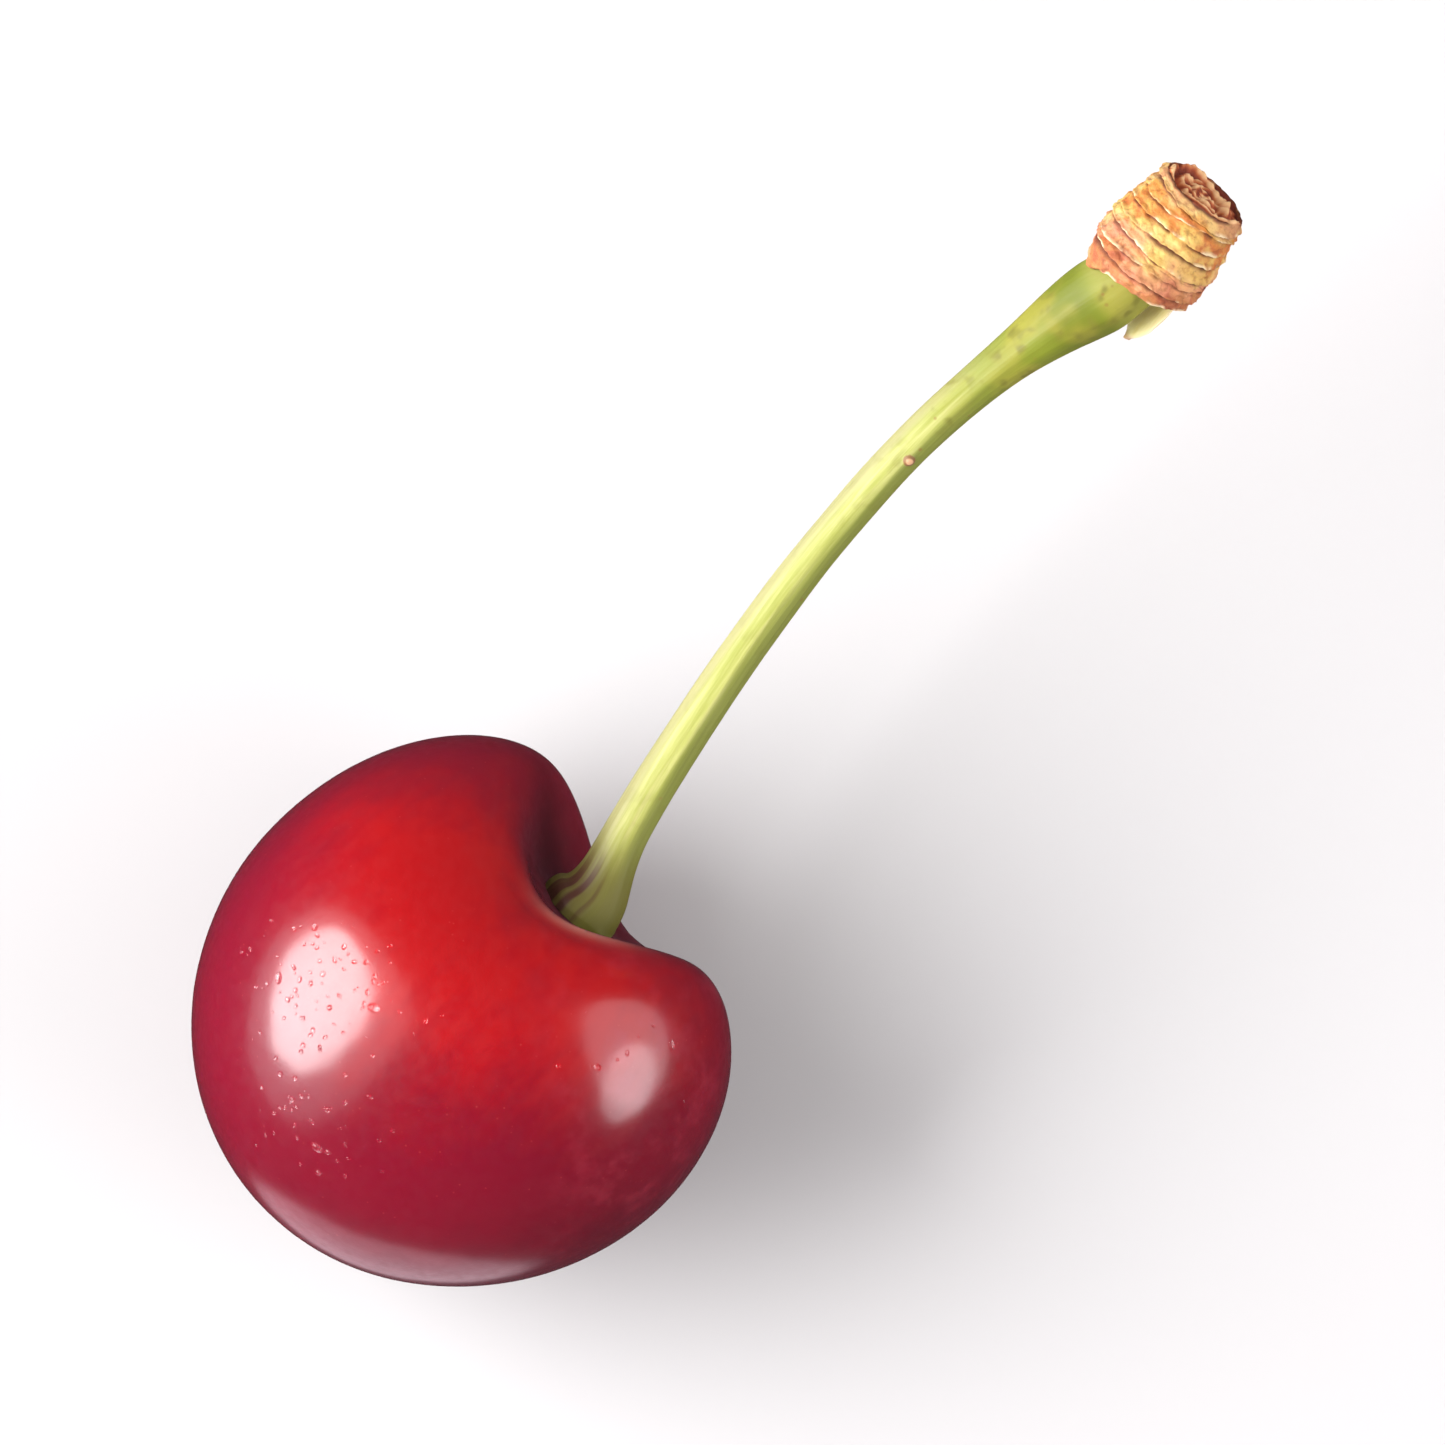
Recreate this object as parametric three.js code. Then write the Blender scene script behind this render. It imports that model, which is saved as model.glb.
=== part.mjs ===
// A sweet cherry lying on its cheek, with its stalk and the woody knob that came off the tree
// with it. Millimetres, +Z up. The origin is the middle of the small flat spot that the fruit
// rests on. +X runs from the fruit's tip towards its stalk, and +Y towards its taller shoulder.

import * as THREE from "three";
import { mergeVertices } from "three/addons/utils/BufferGeometryUtils.js";

const degree = Math.PI / 180;
const fullTurn = 2 * Math.PI;

// Gap left between two neighbouring pieces.
const gap = 0.3;

// ---- Fruit ----
// Its axis runs from the tip to the stalk and rises towards the stalk. Places on the skin are
// given by two angles: one down from the stalk end, and one around from the tall shoulder's
// side, through the top of the lying fruit, to the low shoulder's side and the underside.
const fruitSegments = 60;
const fruitRows = 42;
const fruitTilt = 12.5 * degree;
const fruitCentre = new THREE.Vector3(0.5, 0.0, 11.1);
const axisOffset = -1.0;
const axisShift = 0.3;
const tipLean = 0.95;
const tallCheekRadius = 13.45;
const lowCheekRadius = 13.1;
const faceRadius = 11.4;
const fullness = 1.02;
const shoulderReach = 12.3;
const tipReach = 14.2;

// The shoulders stand round the stem cavity: two crests with a dip on each face between them,
// the tall crest turned a little towards the underside.
const seatAngle = 0.1;
const crestAngle = 0.6;
const crestFall = 0.95;
const crestTurn = 23.5 * degree;
const tallCrest = 1.6;
const lowCrest = 0.1;
const upperDip = -2.4;
const underDip = -2.7;
const cavityDepth = 5.2;
const cavityAngle = 0.39;

// The suture is a shallow furrow down one face, in the middle of a broader valley.
const sutureAround = 240 * degree;
const furrowDepth = 0.28;
const furrowWidth = 4 * degree;
const valleyDepth = 0.3;
const valleyWidth = 20 * degree;

// The scar that the flower left at the tip, and the slight unevenness of the whole skin.
const scarDepth = 0.45;
const scarAngle = 0.09;
const unevenness = 0.1;

// ---- Stalk ----
// It leaves the floor of the stem cavity along the fruit's axis, goes through these points, which
// are counted from the fruit's centre, and ends in the knob's socket.
const stalkSides = 16;
const stalkRows = 38;
const straightFoot = 1.0;
const stalkRoute = [
  [11.9, -0.07, 2.65],
  [19.9, 1.32, 4.6],
  [28.5, 2.15, 6.9],
  [36.7, 2.07, 9.25],
  [43.8, 0.9, 11.6],
];
const stalkRadius = 0.97;
const lowerSwell = 0.22;
const lowerReach = 9;
const footFlare = 0.88;
const footReach = 1.7;
const headSwell = 1.08;
const headReach = 5.9;
const headTuck = 0.2;
const headTuckReach = 1.5;
const footLobes = 5;
const footLobeDepth = 0.05;

// ---- Knob ----
// A stub of the bearing spur, ringed by the scars of its bud scales. Ring edges are counted
// from the end that holds the stalk.
const knobSegments = 32;
const knobBase = new THREE.Vector3(47.87, -0.38, 13.05);
const knobDirection = new THREE.Vector3(6.0, 0.15, 2.15).normalize();
const ringEdges = [0, 0.85, 1.55, 2.25, 3.05, 3.85, 4.6, 5.2, 5.7];
const ringStep = 0.17;
const ringWave = 0.14;
// On the bract's side the knob starts this much further up, which leaves room for the bract.
const ringSlant = 0.55;
const knobEndRadius = 2.3;
const knobSwell = 0.64;
const socketRadius = 2.1;
const socketDepth = 1.15;
const headInSocket = 0.35;
const tornRoughness = 0.22;
const knobSeed = 7;

// ---- Bract ----
// The one green scale that still stands at the knob's foot, with its point towards the fruit.
const bractSides = 20;
const bractRows = 12;
const bractRootHeight = 0.35;
const bractLength = 3.3;
const bractHalfWidth = 2.2;
const bractThickness = 0.45;
const bractRadius = 2.4;
const bractFlare = -0.4;
const bractAround = 217 * degree;

// A closed skin over a grid of points. The first and the last row are each a single point, and
// a turn to the right along a row, seen from outside, goes with the next row below it.
function closedSkin(segments, rows, pointAt) {
  const geometry = new THREE.SphereGeometry(1, segments, rows);
  const position = geometry.attributes.position;
  for (let row = 0; row <= rows; row += 1) {
    const isEndPoint = row === 0 || row === rows;
    for (let column = 0; column <= segments; column += 1) {
      const around = isEndPoint ? 0 : ((column % segments) / segments) * fullTurn;
      const point = pointAt(row, around);
      position.setXYZ(row * (segments + 1) + column, point.x, point.y, point.z);
    }
  }
  geometry.deleteAttribute("normal");
  geometry.deleteAttribute("uv");
  return mergeVertices(geometry, 1e-4);
}

// A smooth value around an axis, given on its four sides: 0, 180, 90 and 270 degrees.
function aroundBlend(atTall, atLow, atTop, atUnder, around) {
  const sides = (atTall + atLow) / 2;
  const faces = (atTop + atUnder) / 2;
  return (
    (sides + faces) / 2 +
    ((atTall - atLow) / 2) * Math.cos(around) +
    ((atTop - atUnder) / 2) * Math.sin(around) +
    ((sides - faces) / 2) * Math.cos(2 * around)
  );
}

function bell(distance, width) {
  return Math.exp(-((distance / width) ** 2));
}

// Depth of the suture's furrow and valley, fading out in the cavity and at the tip.
function sutureDepth(down, around) {
  const away = around - sutureAround;
  const fade = THREE.MathUtils.smoothstep(down, 0.15, 0.6) * Math.sin(down) ** 0.4;
  return fade * (furrowDepth * bell(away, furrowWidth) + valleyDepth * bell(away, valleyWidth));
}

// A point of the skin in the fruit's own axes, with x along the fruit's axis.
function fruitPoint(down, around) {
  const cheek = aroundBlend(tallCheekRadius, lowCheekRadius, faceRadius, faceRadius, around);
  const ripple = Math.sin(3 * down + 2 * around + 1) + Math.sin(2 * down - 3 * around);
  const uneven = unevenness * Math.sin(down) * ripple;
  const body = Math.max(Math.sin(down), 0) ** fullness;
  const radius = (cheek + uneven - sutureDepth(down, around)) * body;

  const fromStalk = 0.5 - 0.5 * Math.cos(down);
  const reach = THREE.MathUtils.lerp(
    shoulderReach,
    tipReach,
    fromStalk * fromStalk * (3 - 2 * fromStalk)
  );
  const crestShape =
    THREE.MathUtils.smoothstep(down, seatAngle, crestAngle) *
    bell(Math.max(down - crestAngle, 0), crestFall);
  const fromTallCrest = around + crestTurn;
  const crest = aroundBlend(tallCrest, lowCrest, upperDip, underDip, fromTallCrest) * crestShape;
  const cavity = cavityDepth / (1 + (down / cavityAngle) ** 4);
  const scar = scarDepth * bell(Math.PI - down, scarAngle);
  return new THREE.Vector3(
    axisShift + reach * Math.cos(down) + crest - cavity + scar,
    axisOffset + tipLean * fromStalk + radius * Math.cos(around),
    radius * Math.sin(around)
  );
}

// From the fruit's own axes to the part's frame.
function layDown(point) {
  const upright = new THREE.Vector3(0, 1, 0);
  return point.applyAxisAngle(upright, -fruitTilt).add(fruitCentre);
}

// The fruit is flattened where it lies, so its lowest skin is one flat spot at height 0.
function fruitGeometry() {
  return closedSkin(fruitSegments, fruitRows, (row, around) => {
    const point = layDown(fruitPoint((row / fruitRows) * Math.PI, around));
    point.z = Math.max(point.z, 0);
    return point;
  });
}

// A point on the fruit's axis, at a height over the floor of the stem cavity.
function overCavityFloor(height) {
  return layDown(fruitPoint(0, 0).add(new THREE.Vector3(height, 0, 0)));
}

// A point on the knob's axis, at a height over the end that holds the stalk.
function onKnobAxis(height) {
  return knobBase.clone().add(fruitCentre).addScaledVector(knobDirection, height);
}

const stalkCurve = new THREE.CatmullRomCurve3([
  overCavityFloor(gap),
  overCavityFloor(gap + straightFoot),
  ...stalkRoute.map((point) => new THREE.Vector3(...point).add(fruitCentre)),
  onKnobAxis(headInSocket),
]);
const stalkLength = stalkCurve.getLength();

// The stalk's centre, direction, side and upper side at a distance from its foot.
function stalkFrame(fromFoot) {
  const along = THREE.MathUtils.clamp(fromFoot / stalkLength, 0, 1);
  const direction = stalkCurve.getTangentAt(along);
  const side = new THREE.Vector3(0, 0, 1).cross(direction).normalize();
  const upper = direction.clone().cross(side);
  return { centre: stalkCurve.getPointAt(along), direction, side, upper };
}

function aroundFrame(frame, radius, around) {
  return frame.centre
    .clone()
    .addScaledVector(frame.side, radius * Math.cos(around))
    .addScaledVector(frame.upper, radius * Math.sin(around));
}

// The stalk flares into a lobed foot on the fruit, and thickens towards the knob, where it is
// tucked in again to fit the socket.
function stalkRadiusAt(fromFoot, around) {
  const fromHead = stalkLength - fromFoot;
  const lower = lowerSwell * Math.exp(-fromFoot / lowerReach);
  const foot = footFlare * Math.exp(-((fromFoot / footReach) ** 1.4));
  const head = headSwell * bell(fromHead, headReach);
  const lobes = 1 + footLobeDepth * Math.cos(footLobes * around) * Math.exp(-fromFoot / 1.2);
  const tuck = 1 - headTuck * bell(fromHead, headTuckReach);
  return (stalkRadius + lower + foot + head) * lobes * tuck;
}

// Rows run from the knob's end to the foot, closer together near both ends.
function stalkGeometry() {
  const wallRows = stalkRows - 2;
  return closedSkin(stalkSides, stalkRows, (row, around) => {
    const step = THREE.MathUtils.clamp((row - 1) / wallRows, 0, 1);
    const eased = THREE.MathUtils.lerp(step, 0.5 - 0.5 * Math.cos(step * Math.PI), 0.6);
    const fromFoot = stalkLength * (1 - eased);
    const isEndPoint = row === 0 || row === stalkRows;
    const radius = isEndPoint ? 0 : stalkRadiusAt(fromFoot, around);
    return aroundFrame(stalkFrame(fromFoot), radius, around);
  });
}

// A repeatable sequence of numbers from 0 to 1.
function seededNumbers(seed) {
  let state = seed;
  return () => {
    state = (state * 16807) % 2147483647;
    return state / 2147483647;
  };
}

// Each ring edge waves up and down around the knob by its own two phases.
const nextNumber = seededNumbers(knobSeed);
const ringPhases = ringEdges.map(() => [nextNumber() * fullTurn, nextNumber() * fullTurn]);

function ringEdgeHeight(ring, around) {
  const [slow, quick] = ringPhases[ring];
  const isEnd = ring === 0 || ring === ringEdges.length - 1;
  const wave = isEnd ? 0.3 * ringWave : ringWave;
  const slant = ringSlant * (1 - ring / (ringEdges.length - 1)) * (0.5 - 0.5 * Math.cos(around));
  const waving = wave * (Math.sin(around + slow) + 0.5 * Math.sin(3 * around + quick));
  return ringEdges[ring] + slant + waving;
}

function knobRadiusAt(height) {
  const along = height / ringEdges[ringEdges.length - 1];
  return knobEndRadius + knobSwell * Math.sin(Math.PI * Math.max(along, 0.03) ** 0.55);
}

// Places down the knob, each a function of the angle around it that gives a height and a
// radius: the floor and lip of the socket, the rings, and the torn end.
function knobProfile() {
  const knobLength = ringEdges[ringEdges.length - 1];
  const profile = [
    () => [socketDepth, 0],
    () => [socketDepth, socketRadius],
    (around) => [ringEdgeHeight(0, around), socketRadius + 0.05],
  ];
  for (let ring = 0; ring < ringEdges.length - 1; ring += 1) {
    for (const within of [0.03, 0.45, 0.97]) {
      profile.push((around) => {
        const lower = ringEdgeHeight(ring, around);
        const upper = ringEdgeHeight(ring + 1, around);
        const height = THREE.MathUtils.lerp(lower, upper, within);
        const lobe = 0.05 * Math.sin(4 * around + ringPhases[ring][0]);
        return [height, knobRadiusAt(height) + ringStep * (0.5 - within) + lobe];
      });
    }
  }
  const tornRings = [
    [2.1, -0.05],
    [1.75, -0.5],
    [1.4, -0.1],
    [0.95, -0.6],
    [0.5, -0.25],
    [0, -0.6],
  ];
  for (const [radius, drop] of tornRings) {
    profile.push((around) => {
      const torn = Math.sin(2 * around + 5 * radius) + Math.sin(5 * around - 3 * radius);
      return [knobLength + drop + tornRoughness * torn * Math.min(radius, 1) * 0.5, radius];
    });
  }
  return profile.reverse();
}

// The knob's centre, side and upper side at a height over the end that holds the stalk.
function knobFrame(height) {
  const side = new THREE.Vector3(0, 0, 1).cross(knobDirection).normalize();
  const upper = knobDirection.clone().cross(side);
  return { centre: onKnobAxis(height), side, upper };
}

function knobGeometry() {
  const profile = knobProfile();
  return closedSkin(knobSegments, profile.length - 1, (row, around) => {
    const [height, radius] = profile[row](around);
    return aroundFrame(knobFrame(height), radius, around);
  });
}

// The bract is a thin pointed scale, bent round the stalk's head. Its rows run from the point
// to the root, and each row is a flat loop.
function bractGeometry() {
  return closedSkin(bractSides, bractRows, (row, loop) => {
    const fromTip = row / bractRows;
    const isEndPoint = row === 0 || row === bractRows;
    const halfWidth = bractHalfWidth * Math.sin(Math.PI * fromTip ** 1.6 * 0.93) ** 0.6;
    const across = isEndPoint ? 0 : halfWidth * Math.cos(loop);
    const outwards = isEndPoint ? 0 : (bractThickness / 2) * Math.sin(loop);
    const radius = bractRadius + bractFlare * (1 - fromTip) + outwards;
    const frame = knobFrame(bractRootHeight - bractLength * (1 - fromTip));
    return aroundFrame(frame, radius, bractAround + across / bractRadius);
  });
}

function namedMesh(name, geometry, color, roughness) {
  const material = new THREE.MeshStandardMaterial({ color, roughness, metalness: 0 });
  const mesh = new THREE.Mesh(geometry, material);
  mesh.name = name;
  return mesh;
}

const cherry = new THREE.Group();
cherry.add(namedMesh("fruit", fruitGeometry(), 0xb8132a, 0.18));
cherry.add(namedMesh("stalk", stalkGeometry(), 0xb4c25c, 0.5));
cherry.add(namedMesh("knob", knobGeometry(), 0xc4894a, 0.85));
cherry.add(namedMesh("bract", bractGeometry(), 0xd8d488, 0.7));

export default cherry;
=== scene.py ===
import math
import random

import bpy
import numpy as np
from mathutils import Matrix, Quaternion, Vector, noise
from mathutils.bvhtree import BVHTree


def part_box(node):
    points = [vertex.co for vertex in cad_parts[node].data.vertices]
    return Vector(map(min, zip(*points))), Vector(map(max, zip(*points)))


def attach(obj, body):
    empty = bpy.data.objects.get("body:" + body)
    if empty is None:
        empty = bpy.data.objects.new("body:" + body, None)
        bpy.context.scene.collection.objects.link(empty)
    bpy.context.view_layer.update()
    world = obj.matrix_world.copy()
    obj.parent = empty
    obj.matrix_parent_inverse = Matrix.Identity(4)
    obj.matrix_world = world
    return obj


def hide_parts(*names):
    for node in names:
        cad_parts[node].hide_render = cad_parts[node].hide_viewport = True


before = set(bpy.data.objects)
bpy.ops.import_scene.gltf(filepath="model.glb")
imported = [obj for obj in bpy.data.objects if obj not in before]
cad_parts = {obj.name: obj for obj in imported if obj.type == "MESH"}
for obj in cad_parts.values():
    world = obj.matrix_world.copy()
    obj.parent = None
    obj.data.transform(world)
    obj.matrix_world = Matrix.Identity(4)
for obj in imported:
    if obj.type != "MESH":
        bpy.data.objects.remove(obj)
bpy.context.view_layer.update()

# A sweet cherry on its stalk, lying on a pale floor and seen from straight above. The forms are
# the CAD's own, from the same driving sizes, with a finer mesh and the fine relief added. Sizes
# are in millimetres, which new_piece turns into metres, and angles are in radians.
MM = 0.001
FULL_TURN = 2 * math.pi

# ---- Camera: straight down, turned so that the stalk points up and to the right ----
STALK_SLANT = 48.0  # degrees above the picture's horizontal
LENS = 600.0
SENSOR = 36.0
VIEW_WIDTH = 70.0
VIEW_CENTRE = (19.3, 0.0, 17.0)

# ---- Fruit ----
FRUIT_SEGMENTS = 360
FRUIT_ROWS = 260
FRUIT_TILT = math.radians(12.5)
FRUIT_CENTRE = np.array([0.5, 0.0, 11.1])
AXIS_OFFSET = -1.0
AXIS_SHIFT = 0.3
TIP_LEAN = 0.95
TALL_CHEEK = 13.45
LOW_CHEEK = 13.1
FACE_RADIUS = 11.4
FULLNESS = 1.02
SHOULDER_REACH = 12.3
TIP_REACH = 14.2
SEAT_ANGLE = 0.1
CREST_ANGLE = 0.6
CREST_FALL = 0.95
CREST_TURN = math.radians(23.5)
TALL_CREST = 1.6
LOW_CREST = 0.1
UPPER_DIP = -2.4
UNDER_DIP = -2.7
CAVITY_DEPTH = 5.2
CAVITY_ANGLE = 0.39
SUTURE_AROUND = math.radians(240)
FURROW_DEPTH = 0.28
FURROW_WIDTH = math.radians(4)
VALLEY_DEPTH = 0.3
VALLEY_WIDTH = math.radians(20)
SUTURE_START = 0.15
SUTURE_FULL = 0.6
SCAR_DEPTH = 0.45
SCAR_ANGLE = 0.09
UNEVENNESS = 0.1

# The skin's finest relief: how high it is, and how many lumps there are to a millimetre.
DENT_HEIGHT = 0.026
DENTS_PER_MM = 0.2
PEEL_HEIGHT = 0.005
PEEL_PER_MM = 0.9

# Where the skin's colour changes: angles down from the stalk end, and around. The cavity's and the
# furrow's darkening is painted shade.
CAVITY_SHADE_FULL = 0.2
CAVITY_SHADE_END = 0.6
TIP_SPOT_WIDTH = 0.16
FURROW_SHADE_WIDTH = math.radians(5)

# A painted highlight on the lip of skin where the stalk's foot meets the rim of the cavity.
LIP_DOWN = 0.45
LIP_HEIGHT = 0.07
LIP_AROUND = math.radians(98)
LIP_WIDTH = math.radians(24)

# ---- Stalk ----
# Its route goes through points that are counted from the fruit's centre.
STALK_SIDES = 72
STALK_ROWS = 460
STALK_ROUTE = [
    (11.9, -0.07, 2.65),
    (19.9, 1.32, 4.6),
    (28.5, 2.15, 6.9),
    (36.7, 2.07, 9.25),
    (43.8, 0.9, 11.6),
]
STRAIGHT_FOOT = 1.0
STALK_RADIUS = 0.97
LOWER_SWELL = 0.22
LOWER_REACH = 9
FOOT_FLARE = 0.88
FOOT_REACH = 1.7
FOOT_SHARPNESS = 1.4
HEAD_SWELL = 1.08
HEAD_REACH = 5.9
HEAD_TUCK = 0.2
HEAD_TUCK_REACH = 1.5
FOOT_LOBES = 5
FOOT_LOBE_DEPTH = 0.05
FOOT_LOBE_REACH = 1.2

# The CAD's foot stands this far over the cavity's floor, and here it sinks into the floor.
FOOT_GAP = 0.3
FOOT_SINK = 0.12

# The rind's relief, fainter on the foot: ridges, counted round the stalk, that turn slowly round
# it on their way up, fine grain and soft lumps.
BROAD_RIDGES = 9
BROAD_RIDGE_HEIGHT = 0.014
NARROW_RIDGES = 17
NARROW_RIDGE_HEIGHT = 0.008
RIDGE_TURN_PER_MM = 0.035
RIDGE_WANDER = 0.5
RIND_GRAIN_HEIGHT = 0.012
RIND_LUMP_HEIGHT = 0.05
FOOT_RELIEF = 0.35
FOOT_RELIEF_START = 0.5
FOOT_RELIEF_END = 3.0

# A tiny wart on the stalk: where it is along the frame's x and round the stalk, and its size.
WART_X = 35.0
WART_AROUND = math.radians(117)
WART_RADIUS = 0.36
WART_HEIGHT = 0.16
WART_FLAT_TOP = 0.6

# ---- Knob ----
# Ring edges are counted from the end that holds the stalk.
KNOB_SEGMENTS = 300
KNOB_BASE = np.array([47.87, -0.38, 13.05])
KNOB_DIRECTION = np.array([6.0, 0.15, 2.15]) / math.hypot(6.0, 0.15, 2.15)
RING_EDGES = [0, 0.85, 1.55, 2.25, 3.05, 3.85, 4.6, 5.2, 5.7]
LAST_RING = len(RING_EDGES) - 1
RING_STEP = 0.17
RING_WAVE = 0.14
RING_SLANT = 0.55
ROWS_PER_RING = 12
KNOB_END_RADIUS = 2.3
KNOB_SWELL = 0.64
SOCKET_RADIUS = 2.1
SOCKET_DEPTH = 1.15
HEAD_IN_SOCKET = 0.35
TORN_ROUGHNESS = 0.22
KNOB_SEED = 7

# The scales: ragged lips, lobes, bulges, splits that run up from the lips, and a flap of the
# first ring that reaches over the stalk's head.
END_WAVE_SHARE = 0.3
RAGGEDNESS = 0.1
LOBE_HEIGHT = 0.05
LOBES_PER_RING = 4
BULGE_HEIGHT = 0.07
LIP_THICKNESS = 0.03
LIP_CURL = 0.12
LIP_SHARE = 0.16
SPLITS_PER_RING = 2
SPLIT_WIDTH = 0.05
SPLIT_DEPTH = 0.06
FLAP_LENGTH = 0.75
FLAP_AROUND = math.radians(22)
FLAP_WIDTH = math.radians(30)
FLAP_TAPER = 0.65

# The bark's relief all over the scales, in millimetres.
WRINKLE_HEIGHT = 0.1
FLAKE_HEIGHT = 0.07
PIT_DEPTH = 0.035
CREASE_WIDTH = 0.045
CREASE_DEPTH = 0.04
ROW_SHIFT = 0.05

# The torn end: its level at each radius, counted from the last ring's edge, and its thin layers,
# which fade out towards the middle.
TORN_ROWS = 34
TORN_RADII = [0, 0.5, 0.95, 1.4, 1.75, 2.1]
TORN_LEVELS = [-0.3, -0.12, -0.32, -0.1, -0.25, -0.03]
TORN_WAVE_SHARE = 0.4
LAYER_HEIGHT = 0.34
LAYERS_START = 0.3
LAYERS_FULL = 1.0
SPLINTER_SHARE = 0.35

# ---- Bract ----
BRACT_ROOT_HEIGHT = 0.35
BRACT_LENGTH = 3.3
BRACT_HALF_WIDTH = 2.2
BRACT_RADIUS = 2.4
BRACT_FLARE = -0.4
BRACT_AROUND = math.radians(217)
BRACT_SIDES = 48
BRACT_ROWS = 40
BRACT_HALF_THICKNESS = 0.16
BRACT_CURL = 0.16
BRACT_KEEL = 0.1
BRACT_KEEL_WIDTH = 0.2
BRACT_WRINKLE = 0.02


# ======== Small maths ========


def unit(vector):
    return vector / np.linalg.norm(vector)


def smooth_step(value, low, high):
    t = np.clip((value - low) / (high - low), 0, 1)
    return t * t * (3 - 2 * t)


def bell(distance, width):
    return np.exp(-((distance / width) ** 2))


def around_blend(at_tall, at_low, at_top, at_under, around):
    """A smooth value around an axis, given at 0, 180, 90 and 270 degrees."""
    sides = (at_tall + at_low) / 2
    faces = (at_top + at_under) / 2
    return (
        (sides + faces) / 2
        + (at_tall - at_low) / 2 * np.cos(around)
        + (at_top - at_under) / 2 * np.sin(around)
        + (sides - faces) / 2 * np.cos(2 * around)
    )


def whole_turn(count):
    """Angles all round, count of them."""
    return np.arange(count) * FULL_TURN / count


def turned_from(around, middle):
    """The angle from a middle, between half a turn back and half a turn on."""
    return (around - middle + math.pi) % FULL_TURN - math.pi


def fine_noise(points, scale, seed):
    """Blender's noise, from -1 to 1: scale lumps to a millimetre, and a pattern for each seed."""
    shift = Vector((13.7 * seed, -7.3 * seed, 3.1 * seed))
    flat = points.reshape(-1, 3) * scale
    values = [noise.noise(Vector(point) + shift) for point in flat]
    return np.array(values).reshape(points.shape[:-1])


# ======== Mesh building ========


def new_piece(name, vertices, faces):
    """A smooth-shaded mesh object from points in millimetres."""
    mesh = bpy.data.meshes.new(name)
    mesh.from_pydata((np.asarray(vertices) * MM).tolist(), [], faces)
    mesh.validate()
    mesh.shade_smooth()
    piece = bpy.data.objects.new(name, mesh)
    bpy.context.scene.collection.objects.link(piece)
    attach(piece, "root")
    return piece


def skin_faces(rows, segments):
    """Faces of a closed skin: a first point, rows of segments points, and a last point."""
    last = 1 + rows * segments
    bottom = last - segments
    faces = []
    for column in range(segments):
        beside = (column + 1) % segments
        faces.append((0, 1 + column, 1 + beside))
    for row in range(rows - 1):
        upper = 1 + row * segments
        lower = upper + segments
        for column in range(segments):
            beside = (column + 1) % segments
            faces.append((upper + column, lower + column, lower + beside, upper + beside))
    for column in range(segments):
        beside = (column + 1) % segments
        faces.append((last, bottom + beside, bottom + column))
    return faces


def closed_skin(name, top, grid, bottom):
    """A closed piece from a top point, a grid of rows of points, and a bottom point."""
    rows, segments = grid.shape[:2]
    vertices = np.vstack([top, grid.reshape(-1, 3), bottom])
    return new_piece(name, vertices, skin_faces(rows, segments))


def set_attribute(piece, name, top, grid, bottom):
    """One number a vertex of a closed skin, for its material to read."""
    values = np.concatenate([[top], grid.ravel(), [bottom]])
    attribute = piece.data.attributes.new(name, "FLOAT", "POINT")
    attribute.data.foreach_set("value", values.astype(np.float32))


# ======== Fruit ========


def suture_depth(down, around):
    """Depth of the suture's furrow and valley, fading out in the cavity and at the tip."""
    away = around - SUTURE_AROUND
    fade = smooth_step(down, SUTURE_START, SUTURE_FULL) * np.sin(down) ** 0.4
    furrow = FURROW_DEPTH * bell(away, FURROW_WIDTH)
    valley = VALLEY_DEPTH * bell(away, VALLEY_WIDTH)
    return fade * (furrow + valley)


def fruit_points(down, around):
    """Points of the skin in the fruit's own axes, x along its axis.

    One angle goes down from the stalk end, and one around from the tall shoulder's side,
    through the top of the lying fruit.
    """
    cheek = around_blend(TALL_CHEEK, LOW_CHEEK, FACE_RADIUS, FACE_RADIUS, around)
    ripple = np.sin(3 * down + 2 * around + 1) + np.sin(2 * down - 3 * around)
    uneven = UNEVENNESS * np.sin(down) * ripple
    body = np.maximum(np.sin(down), 0) ** FULLNESS
    radius = (cheek + uneven - suture_depth(down, around)) * body

    from_stalk = 0.5 - 0.5 * np.cos(down)
    blend = from_stalk * from_stalk * (3 - 2 * from_stalk)
    reach = SHOULDER_REACH + (TIP_REACH - SHOULDER_REACH) * blend
    crest_shape = smooth_step(down, SEAT_ANGLE, CREST_ANGLE)
    crest_shape = crest_shape * bell(np.maximum(down - CREST_ANGLE, 0), CREST_FALL)
    from_tall_crest = around + CREST_TURN
    crest = around_blend(TALL_CREST, LOW_CREST, UPPER_DIP, UNDER_DIP, from_tall_crest) * crest_shape
    cavity = CAVITY_DEPTH / (1 + (down / CAVITY_ANGLE) ** 4)
    scar = SCAR_DEPTH * bell(math.pi - down, SCAR_ANGLE)
    along = AXIS_SHIFT + reach * np.cos(down) + crest - cavity + scar
    beside = AXIS_OFFSET + TIP_LEAN * from_stalk + radius * np.cos(around)
    return np.stack([along, beside, radius * np.sin(around)], axis=-1)


def lay_down(points):
    """From the fruit's own axes to the frame."""
    cos, sin = math.cos(FRUIT_TILT), math.sin(FRUIT_TILT)
    x = points[..., 0] * cos - points[..., 2] * sin
    z = points[..., 0] * sin + points[..., 2] * cos
    return np.stack([x, points[..., 1], z], axis=-1) + FRUIT_CENTRE


def over_cavity_floor(height):
    """A point on the fruit's axis, over the middle of the cavity's floor."""
    floor = fruit_points(np.array(0.0), np.array(0.0))
    return lay_down(floor + np.array([height, 0, 0]))


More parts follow.
